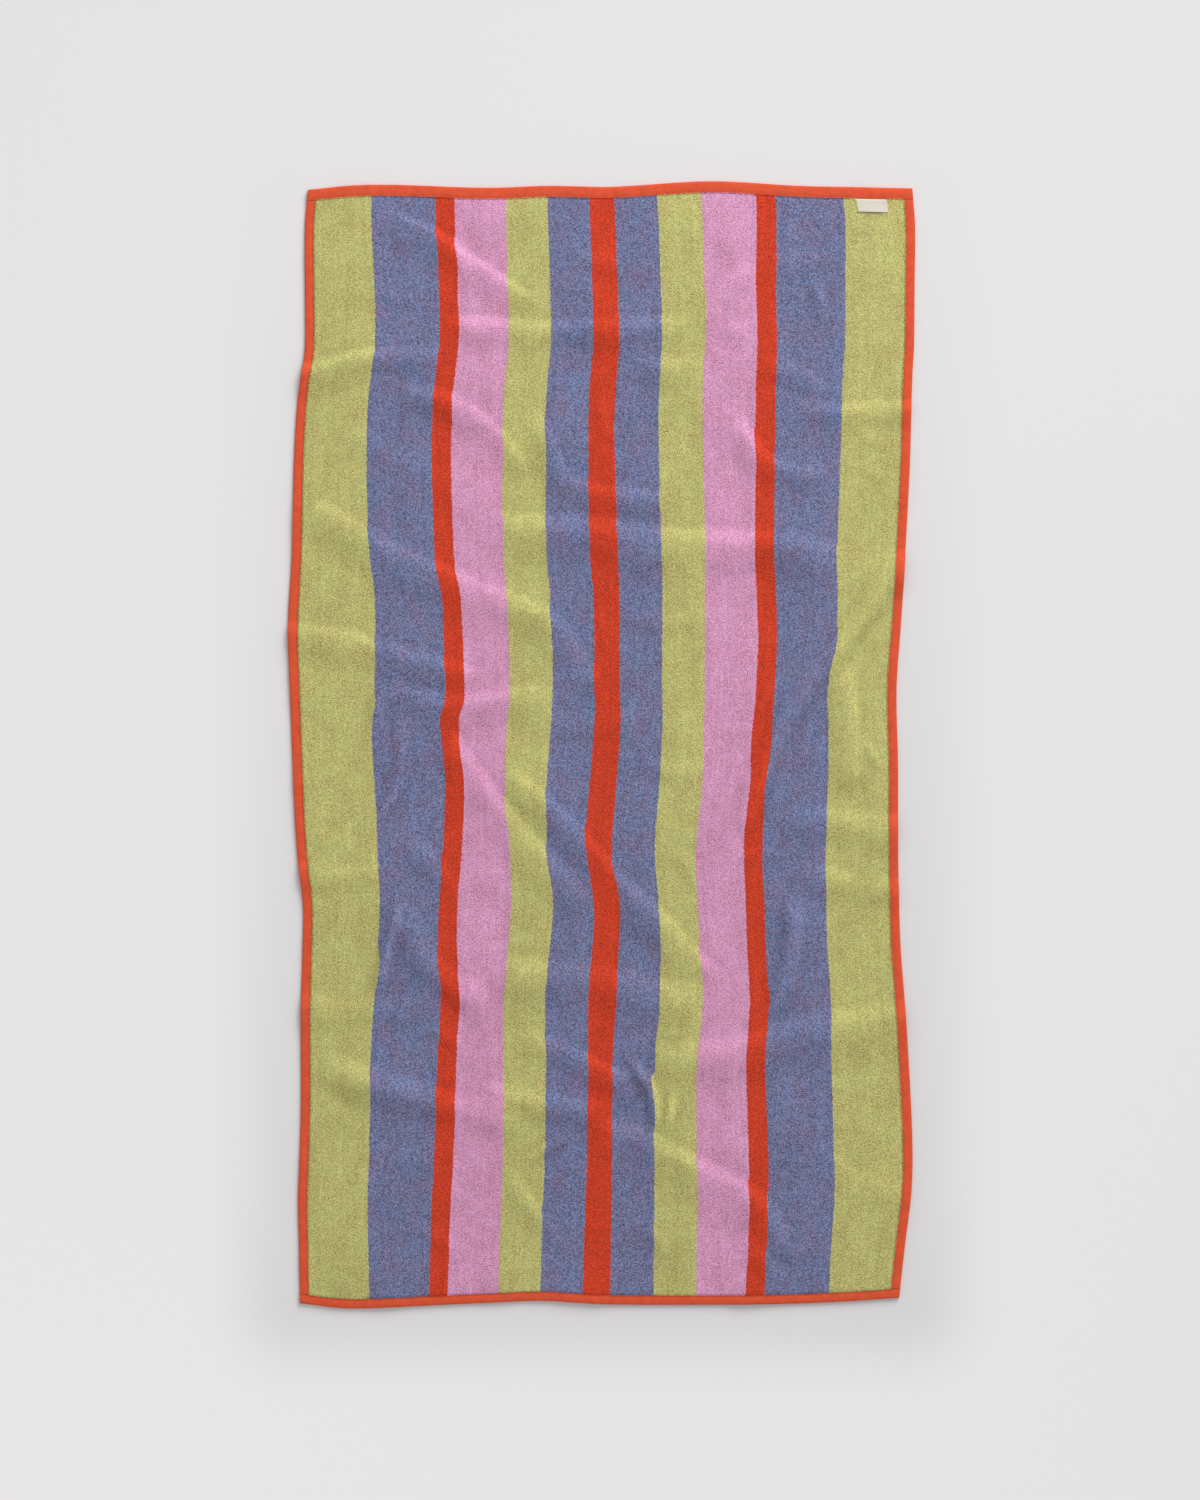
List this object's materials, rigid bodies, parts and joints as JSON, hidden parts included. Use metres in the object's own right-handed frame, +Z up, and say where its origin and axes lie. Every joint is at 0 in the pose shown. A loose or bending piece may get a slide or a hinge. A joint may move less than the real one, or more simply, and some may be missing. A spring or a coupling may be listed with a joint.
{
  "type": "bath towel",
  "caption": "Terry bath towel lying spread out and face up in soft uneven folds, bound on every side with folded woven tape.",
  "frame": {"origin": "on the surface that the towel lies on, under the middle of the box around it", "axes": "+X to the towel's right edge, +Y to its head, where the label is, +Z up from the surface"},
  "size_m": [0.784, 1.4083, 0.0141],
  "materials": {
    "terry": "looped cotton pile, lengthwise stripes",
    "tape": "flat woven cotton tape",
    "label": "plain woven satin tape, bare"
  },
  "bodies": {
    "root": {"terry_panel": "terry", "head_tape": "tape", "foot_tape": "tape", "left_tape": "tape", "right_tape": "tape", "label": "label"}
  },
  "joints": []
}
